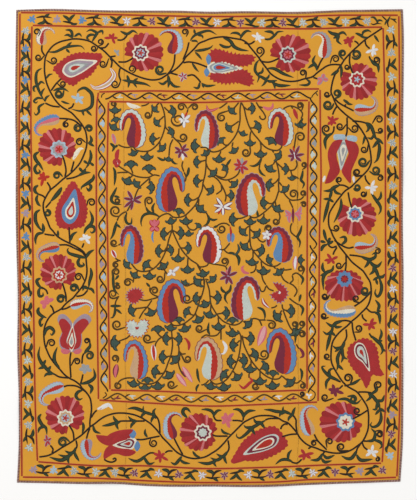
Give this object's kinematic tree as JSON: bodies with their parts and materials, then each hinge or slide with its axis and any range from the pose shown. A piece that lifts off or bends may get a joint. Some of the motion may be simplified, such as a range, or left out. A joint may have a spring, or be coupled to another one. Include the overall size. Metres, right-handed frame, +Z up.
{
  "type": "suzani embroidered textile",
  "caption": "Large flat rectangular cloth of three panels sewn side by side, with a narrow braid sewn along every edge.",
  "frame": {"origin": "on the surface the cloth lies on, under the middle of the cloth", "axes": "+Z up out of the embroidered face, +Y along the cloth, +X across it"},
  "size_m": [1.5543, 1.9118, 0.0065],
  "materials": {
    "ground_cloth": "matt",
    "edging_braid": "matt",
    "needlework": "silky"
  },
  "bodies": {
    "root": {"panel_left": "ground_cloth", "panel_middle": "ground_cloth", "panel_right": "ground_cloth", "braid_left": "edging_braid", "braid_right": "edging_braid", "braid_bottom": "edging_braid", "braid_top": "edging_braid"}
  },
  "joints": []
}
